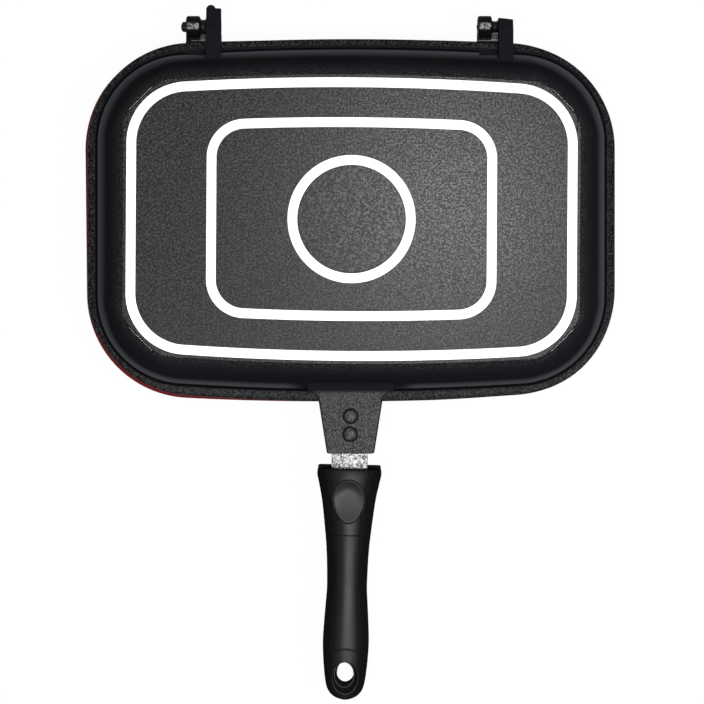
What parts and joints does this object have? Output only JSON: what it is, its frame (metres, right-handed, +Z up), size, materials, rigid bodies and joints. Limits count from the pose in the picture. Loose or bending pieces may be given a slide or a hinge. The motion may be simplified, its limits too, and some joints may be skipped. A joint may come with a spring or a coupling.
{
  "type": "double sided pan",
  "caption": "Rectangular double sided pan: hinged cast trays that close mouth to mouth, with machined rings on each flat base and a riveted handle on each tray.",
  "frame": {"origin": "middle of the lower tray's base, on the surface that the closed pan stands on", "axes": "+Z up, +Y from the handles towards the hinge, +X to the right of a viewer at the handles' end who looks towards the hinge"},
  "size_m": [0.3614, 0.474, 0.0726],
  "materials": {
    "red_coated_casting": "cast aluminium, gloss red lacquer outside and black non-stick inside",
    "black_coated_casting": "cast aluminium, black coat, fine grain on base and rim, satin on the wall, rings machined bright",
    "seal_rubber": "silicone, matte",
    "bright_steel": "bright stainless steel",
    "dark_steel": "black oxide, satin",
    "grip_plastic": "satin thermoset, fine grain",
    "inlay_plastic": "smooth gloss",
    "magnet": "dark grey ferrite"
  },
  "bodies": {
    "lower_pan": {"lower_pan_shell": "red_coated_casting", "lower_rim_seal": "seal_rubber", "lower_tang": "bright_steel", "lower_rivet_inner": "dark_steel", "lower_rivet_outer": "dark_steel", "lower_grip": "grip_plastic", "lower_thumb_inlay": "inlay_plastic", "lower_grip_screw": "bright_steel", "lower_magnet": "magnet", "lower_magnet_cover": "bright_steel"},
    "hinge_pins": {"left_hinge_pin": "dark_steel", "right_hinge_pin": "dark_steel"},
    "upper_pan": {"upper_pan_shell": "black_coated_casting", "upper_tang": "bright_steel", "upper_rivet_inner": "dark_steel", "upper_rivet_outer": "dark_steel", "upper_grip": "grip_plastic", "upper_thumb_inlay": "inlay_plastic", "upper_grip_screw": "bright_steel", "upper_magnet": "magnet", "upper_magnet_cover": "bright_steel"}
  },
  "joints": [
    {"name": "lift_off", "type": "slide", "parent": "lower_pan", "child": "hinge_pins", "axis": [1, 0, 0], "range_m": [0, 0.0135]},
    {"name": "lid_hinge", "type": "hinge", "parent": "hinge_pins", "child": "upper_pan", "pos_m": [0, 0.1324, 0.0363], "axis": [-1, 0, 0], "range_deg": [0, 98]}
  ]
}
